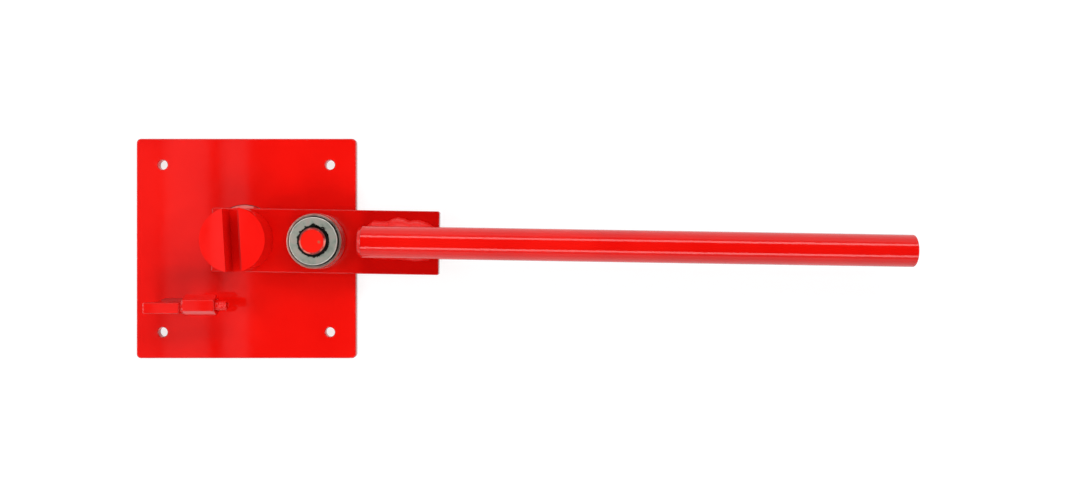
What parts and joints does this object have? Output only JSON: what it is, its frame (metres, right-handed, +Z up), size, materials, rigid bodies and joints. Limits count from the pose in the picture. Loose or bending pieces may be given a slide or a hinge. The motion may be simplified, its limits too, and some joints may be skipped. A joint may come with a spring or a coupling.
{
  "type": "rod bender",
  "caption": "Bench rod bender: square plate with bolt holes, fixed slotted head, swinging lever with a ball-bearing roller and a tube handle, and a screw stop for the rod.",
  "frame": {"origin": "on the base plate's underside, on the axis of the pivot post", "axes": "+X along the handle as it lies at rest, +Y away from the rod stop, +Z up from the bench"},
  "size_m": [0.7309, 0.21, 0.0535],
  "materials": {
    "red_paint": "glossy red paint",
    "bare_steel": "bare, slightly dulled",
    "bearing_steel": "ground, oily",
    "polished_steel": "polished",
    "black_steel": "black spring steel"
  },
  "bodies": {
    "base": {"base_plate": "red_paint", "pivot_post": "red_paint", "post_weld": "red_paint", "pivot_ring": "bare_steel", "slotted_head": "red_paint", "stop_upright": "red_paint", "stop_weld_front": "red_paint", "stop_weld_back": "red_paint", "stop_nut": "red_paint", "stop_nut_weld": "red_paint"},
    "lever": {"lever_arm": "red_paint", "handle_tube": "red_paint", "tube_weld_upper": "red_paint", "tube_weld_lower": "red_paint", "roller_pin": "red_paint", "pin_weld": "red_paint", "roller_spacer": "bare_steel", "roller_washer": "bare_steel", "roller_circlip": "black_steel", "bearing_inner_ring": "polished_steel"},
    "roller": {"bearing_outer_ring": "bearing_steel", "bearing_shield_upper": "bearing_steel", "bearing_shield_lower": "bearing_steel"},
    "cage": {"bearing_cage_upper": "polished_steel", "bearing_cage_lower": "polished_steel", "bearing_ball_1": "polished_steel", "bearing_ball_2": "polished_steel", "bearing_ball_3": "polished_steel", "bearing_ball_4": "polished_steel", "bearing_ball_5": "polished_steel", "bearing_ball_6": "polished_steel", "bearing_ball_7": "polished_steel", "bearing_ball_8": "polished_steel", "bearing_ball_9": "polished_steel"},
    "stop_screw": {"stop_screw": "red_paint"}
  },
  "joints": [
    {"name": "lever_swing", "type": "hinge", "parent": "base", "child": "lever", "pos_m": [0, 0, 0.018], "axis": [0, 0, 1], "range_deg": [-68, 197]},
    {"name": "roller_spin", "type": "hinge", "parent": "lever", "child": "roller", "pos_m": [0.07299, -0.00118, 0.0347], "axis": [0, 0, 1], "continuous": true},
    {"name": "cage_spin", "type": "hinge", "parent": "lever", "child": "cage", "pos_m": [0.07299, -0.00118, 0.0347], "axis": [0, 0, 1], "continuous": true},
    {"name": "stop_screw_travel", "type": "slide", "parent": "base", "child": "stop_screw", "axis": [1, 0, 0], "range_m": [-0.009, 0.008]}
  ],
  "couplings": [
    {"joint": "cage_spin", "follows": "roller_spin", "ratio": 0.6031}
  ]
}
